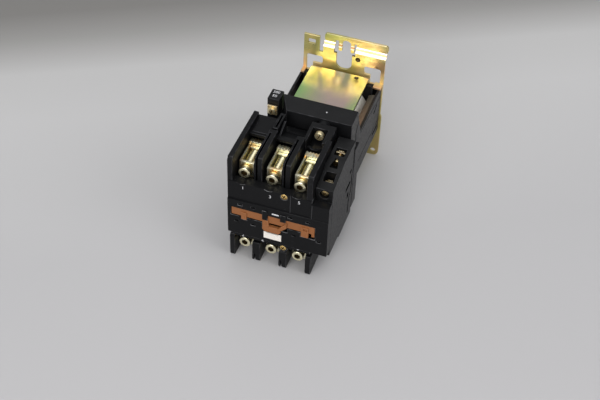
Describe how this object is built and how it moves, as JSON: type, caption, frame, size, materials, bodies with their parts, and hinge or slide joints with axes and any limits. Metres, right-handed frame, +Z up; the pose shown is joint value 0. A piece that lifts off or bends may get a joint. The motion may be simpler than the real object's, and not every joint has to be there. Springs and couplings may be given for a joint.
{
  "type": "din rail contactor",
  "caption": "Power contactor for a top-hat rail: open pole block with box terminals, sliding contact carrier, side auxiliary contacts, and a DC magnet and coil on a sheet steel rail plate.",
  "frame": {"origin": "On the floor under the middle of the part's box, at the foot of the pole housing's fins and of the mounting plate.", "axes": "+X to the auxiliary block's side, +Y from the front cover back to the rail, +Z up to the line terminals."},
  "size_m": [0.085, 0.1742, 0.1217],
  "materials": {
    "black_plastic": "satin black moulded plastic",
    "slider_plastic": "orange-brown moulded plastic",
    "white_plastic": "plain white",
    "cream_tape": "cream insulating wrap",
    "yellow_zinc": "yellow chromated zinc plating",
    "pale_zinc": "pale cream zinc plating",
    "brass": "bright brass",
    "copper": "bare copper contact bar",
    "steel": "bare steel"
  },
  "bodies": {
    "base": {"pole_housing": "black_plastic", "front_cover": "black_plastic", "tag": "white_plastic", "cover_screw_upper": "brass", "cover_screw_lower": "brass", "terminal_line_1": "pale_zinc", "terminal_line_2": "pale_zinc", "terminal_line_3": "pale_zinc", "terminal_load_1": "pale_zinc", "terminal_load_2": "pale_zinc", "terminal_load_3": "pale_zinc", "aux_case": "black_plastic", "aux_terminal_upper_front": "pale_zinc", "aux_terminal_upper_rear": "pale_zinc", "aux_terminal_lower_front": "pale_zinc", "aux_terminal_lower_rear": "pale_zinc", "magnet_housing": "black_plastic", "magnet_yoke": "yellow_zinc", "magnet_core": "steel", "coil_bobbin": "black_plastic", "coil_winding": "cream_tape", "body_screw": "pale_zinc", "mounting_plate": "yellow_zinc", "return_spring": "steel", "latch_spring": "steel"},
    "carrier": {"contact_carrier": "slider_plastic", "armature": "steel", "aux_bridge_front": "copper", "aux_bridge_rear": "copper", "contact_spring_1": "steel", "contact_spring_2": "steel", "contact_spring_3": "steel"},
    "contact_bridge_1": {"moving_contact_1": "copper"},
    "contact_bridge_2": {"moving_contact_2": "copper"},
    "contact_bridge_3": {"moving_contact_3": "copper"},
    "latch": {"rail_latch": "yellow_zinc"},
    "line_1_pad": {"pad_line_1": "pale_zinc"},
    "line_1_screw": {"terminal_screw_line_1": "pale_zinc"},
    "line_2_pad": {"pad_line_2": "pale_zinc"},
    "line_2_screw": {"terminal_screw_line_2": "pale_zinc"},
    "line_3_pad": {"pad_line_3": "pale_zinc"},
    "line_3_screw": {"terminal_screw_line_3": "pale_zinc"},
    "load_1_pad": {"pad_load_1": "pale_zinc"},
    "load_1_screw": {"terminal_screw_load_1": "pale_zinc"},
    "load_2_pad": {"pad_load_2": "pale_zinc"},
    "load_2_screw": {"terminal_screw_load_2": "pale_zinc"},
    "load_3_pad": {"pad_load_3": "pale_zinc"},
    "load_3_screw": {"terminal_screw_load_3": "pale_zinc"},
    "aux_upper_front_pad": {"aux_clamp_upper_front": "pale_zinc"},
    "aux_upper_front_screw": {"aux_screw_upper_front": "brass"},
    "aux_upper_rear_pad": {"aux_clamp_upper_rear": "pale_zinc"},
    "aux_upper_rear_screw": {"aux_screw_upper_rear": "brass"},
    "aux_lower_front_pad": {"aux_clamp_lower_front": "pale_zinc"},
    "aux_lower_front_screw": {"aux_screw_lower_front": "brass"},
    "aux_lower_rear_pad": {"aux_clamp_lower_rear": "pale_zinc"},
    "aux_lower_rear_screw": {"aux_screw_lower_rear": "brass"},
    "coil_upper_pad": {"coil_clamp_upper": "pale_zinc"},
    "coil_upper_screw": {"coil_screw_upper": "brass"},
    "coil_lower_pad": {"coil_clamp_lower": "pale_zinc"},
    "coil_lower_screw": {"coil_screw_lower": "brass"}
  },
  "joints": [
    {"name": "carrier_slide", "type": "slide", "parent": "base", "child": "carrier", "axis": [0, 1, 0], "range_m": [0, 0.006], "stiffness_N_per_m": 2000, "springref_m": -0.004, "deforming": ["return_spring"]},
    {"name": "contact_bridge_1_slide", "type": "slide", "parent": "carrier", "child": "contact_bridge_1", "axis": [0, 1, 0], "range_m": [-0.0015, 0], "stiffness_N_per_m": 1000, "springref_m": 0.002, "deforming": ["contact_spring_1"]},
    {"name": "contact_bridge_2_slide", "type": "slide", "parent": "carrier", "child": "contact_bridge_2", "axis": [0, 1, 0], "range_m": [-0.0015, 0], "stiffness_N_per_m": 1000, "springref_m": 0.002, "deforming": ["contact_spring_2"]},
    {"name": "contact_bridge_3_slide", "type": "slide", "parent": "carrier", "child": "contact_bridge_3", "axis": [0, 1, 0], "range_m": [-0.0015, 0], "stiffness_N_per_m": 1000, "springref_m": 0.002, "deforming": ["contact_spring_3"]},
    {"name": "latch_slide", "type": "slide", "parent": "base", "child": "latch", "axis": [0, 0, 1], "range_m": [-0.005, 0], "stiffness_N_per_m": 1500, "springref_m": 0.003, "deforming": ["latch_spring"]},
    {"name": "line_1_pad_slide", "type": "slide", "parent": "base", "child": "line_1_pad", "axis": [0, -1, 0], "range_m": [0, 0.005]},
    {"name": "line_1_screw_turn", "type": "hinge", "parent": "line_1_pad", "child": "line_1_screw", "pos_m": [-0.03105, -0.0762, 0.0925], "axis": [0, -1, 0], "range_deg": [0, 1440]},
    {"name": "line_2_pad_slide", "type": "slide", "parent": "base", "child": "line_2_pad", "axis": [0, -1, 0], "range_m": [0, 0.005]},
    {"name": "line_2_screw_turn", "type": "hinge", "parent": "line_2_pad", "child": "line_2_screw", "pos_m": [-0.00785, -0.0762, 0.0925], "axis": [0, -1, 0], "range_deg": [0, 1440]},
    {"name": "line_3_pad_slide", "type": "slide", "parent": "base", "child": "line_3_pad", "axis": [0, -1, 0], "range_m": [0, 0.005]},
    {"name": "line_3_screw_turn", "type": "hinge", "parent": "line_3_pad", "child": "line_3_screw", "pos_m": [0.01535, -0.0762, 0.0925], "axis": [0, -1, 0], "range_deg": [0, 1440]},
    {"name": "load_1_pad_slide", "type": "slide", "parent": "base", "child": "load_1_pad", "axis": [0, -1, 0], "range_m": [0, 0.005]},
    {"name": "load_1_screw_turn", "type": "hinge", "parent": "load_1_pad", "child": "load_1_screw", "pos_m": [-0.03105, -0.0762, 0.0138], "axis": [0, -1, 0], "range_deg": [0, 1440]},
    {"name": "load_2_pad_slide", "type": "slide", "parent": "base", "child": "load_2_pad", "axis": [0, -1, 0], "range_m": [0, 0.005]},
    {"name": "load_2_screw_turn", "type": "hinge", "parent": "load_2_pad", "child": "load_2_screw", "pos_m": [-0.00785, -0.0762, 0.0138], "axis": [0, -1, 0], "range_deg": [0, 1440]},
    {"name": "load_3_pad_slide", "type": "slide", "parent": "base", "child": "load_3_pad", "axis": [0, -1, 0], "range_m": [0, 0.005]},
    {"name": "load_3_screw_turn", "type": "hinge", "parent": "load_3_pad", "child": "load_3_screw", "pos_m": [0.01535, -0.0762, 0.0138], "axis": [0, -1, 0], "range_deg": [0, 1440]},
    {"name": "aux_upper_front_pad_slide", "type": "slide", "parent": "base", "child": "aux_upper_front_pad", "axis": [0, -1, 0], "range_m": [0, 0.0018]},
    {"name": "aux_upper_front_screw_turn", "type": "hinge", "parent": "aux_upper_front_pad", "child": "aux_upper_front_screw", "pos_m": [0.0353, -0.0742, 0.091], "axis": [0, -1, 0], "range_deg": [0, 1080]},
    {"name": "aux_upper_rear_pad_slide", "type": "slide", "parent": "base", "child": "aux_upper_rear_pad", "axis": [0, -1, 0], "range_m": [0, 0.0018]},
    {"name": "aux_upper_rear_screw_turn", "type": "hinge", "parent": "aux_upper_rear_pad", "child": "aux_upper_rear_screw", "pos_m": [0.0353, -0.0472, 0.0986], "axis": [0, -1, 0], "range_deg": [0, 1080]},
    {"name": "aux_lower_front_pad_slide", "type": "slide", "parent": "base", "child": "aux_lower_front_pad", "axis": [0, -1, 0], "range_m": [0, 0.0018]},
    {"name": "aux_lower_front_screw_turn", "type": "hinge", "parent": "aux_lower_front_pad", "child": "aux_lower_front_screw", "pos_m": [0.0353, -0.0742, 0.0302], "axis": [0, -1, 0], "range_deg": [0, 1080]},
    {"name": "aux_lower_rear_pad_slide", "type": "slide", "parent": "base", "child": "aux_lower_rear_pad", "axis": [0, -1, 0], "range_m": [0, 0.0018]},
    {"name": "aux_lower_rear_screw_turn", "type": "hinge", "parent": "aux_lower_rear_pad", "child": "aux_lower_rear_screw", "pos_m": [0.0353, -0.0472, 0.025], "axis": [0, -1, 0], "range_deg": [0, 1080]},
    {"name": "coil_upper_pad_slide", "type": "slide", "parent": "base", "child": "coil_upper_pad", "axis": [0, -1, 0], "range_m": [0, 0.0018]},
    {"name": "coil_upper_screw_turn", "type": "hinge", "parent": "coil_upper_pad", "child": "coil_upper_screw", "pos_m": [-0.03375, -0.0082, 0.1005], "axis": [0, -1, 0], "range_deg": [0, 1080]},
    {"name": "coil_lower_pad_slide", "type": "slide", "parent": "base", "child": "coil_lower_pad", "axis": [0, -1, 0], "range_m": [0, 0.0018]},
    {"name": "coil_lower_screw_turn", "type": "hinge", "parent": "coil_lower_pad", "child": "coil_lower_screw", "pos_m": [-0.03375, -0.0082, 0.0125], "axis": [0, -1, 0], "range_deg": [0, 1080]}
  ],
  "couplings": [
    {"joint": "line_1_screw_turn", "follows": "line_1_pad_slide", "rad_per_m": 5026.5},
    {"joint": "line_2_screw_turn", "follows": "line_2_pad_slide", "rad_per_m": 5026.5},
    {"joint": "line_3_screw_turn", "follows": "line_3_pad_slide", "rad_per_m": 5026.5},
    {"joint": "load_1_screw_turn", "follows": "load_1_pad_slide", "rad_per_m": 5026.5},
    {"joint": "load_2_screw_turn", "follows": "load_2_pad_slide", "rad_per_m": 5026.5},
    {"joint": "load_3_screw_turn", "follows": "load_3_pad_slide", "rad_per_m": 5026.5},
    {"joint": "aux_upper_front_screw_turn", "follows": "aux_upper_front_pad_slide", "rad_per_m": 10472},
    {"joint": "aux_upper_rear_screw_turn", "follows": "aux_upper_rear_pad_slide", "rad_per_m": 10472},
    {"joint": "aux_lower_front_screw_turn", "follows": "aux_lower_front_pad_slide", "rad_per_m": 10472},
    {"joint": "aux_lower_rear_screw_turn", "follows": "aux_lower_rear_pad_slide", "rad_per_m": 10472},
    {"joint": "coil_upper_screw_turn", "follows": "coil_upper_pad_slide", "rad_per_m": 10472},
    {"joint": "coil_lower_screw_turn", "follows": "coil_lower_pad_slide", "rad_per_m": 10472}
  ]
}
